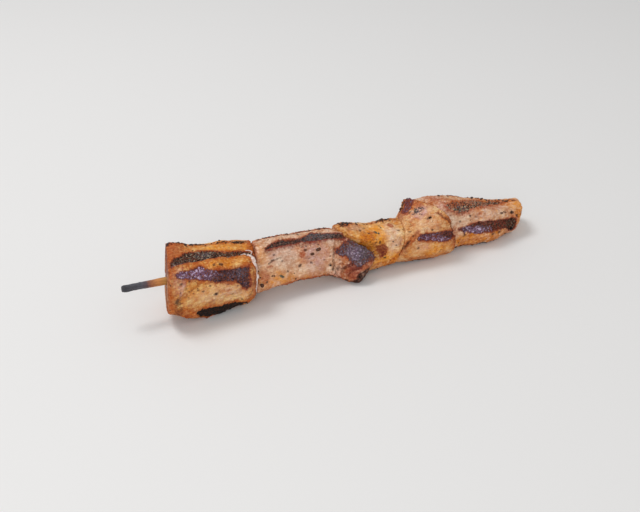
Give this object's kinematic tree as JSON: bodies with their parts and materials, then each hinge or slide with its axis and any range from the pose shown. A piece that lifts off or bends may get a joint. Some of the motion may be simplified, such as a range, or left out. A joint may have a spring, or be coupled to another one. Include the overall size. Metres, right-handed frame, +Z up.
{
  "type": "pork skewer",
  "caption": "Grilled pork skewer: uneven chunks of browned, bar-marked pork pressed together on a round wooden stick whose bare end is charred black.",
  "frame": {"origin": "middle of the skewer's outline, on the surface that it lies on", "axes": "+X from the bare burnt end of the stick towards the last piece of pork, +Y to the back, +Z up"},
  "size_m": [0.1898, 0.0274, 0.0277],
  "materials": {
    "wood_stick": "plain turned wood, charred black at its bare end",
    "pork_browned": "grilled pork, orange-brown crust with a slight greasy gloss",
    "pork_pale": "grilled pork, pinkish tan with a slight greasy gloss",
    "pork_golden": "grilled pork, golden tan with pale fat and a slight greasy gloss"
  },
  "bodies": {
    "root": {"stick": "wood_stick", "pork_1_block": "pork_browned", "pork_2_slab": "pork_pale", "pork_3_middle": "pork_golden", "pork_4_fold": "pork_golden", "pork_5_tail": "pork_pale"}
  },
  "joints": []
}
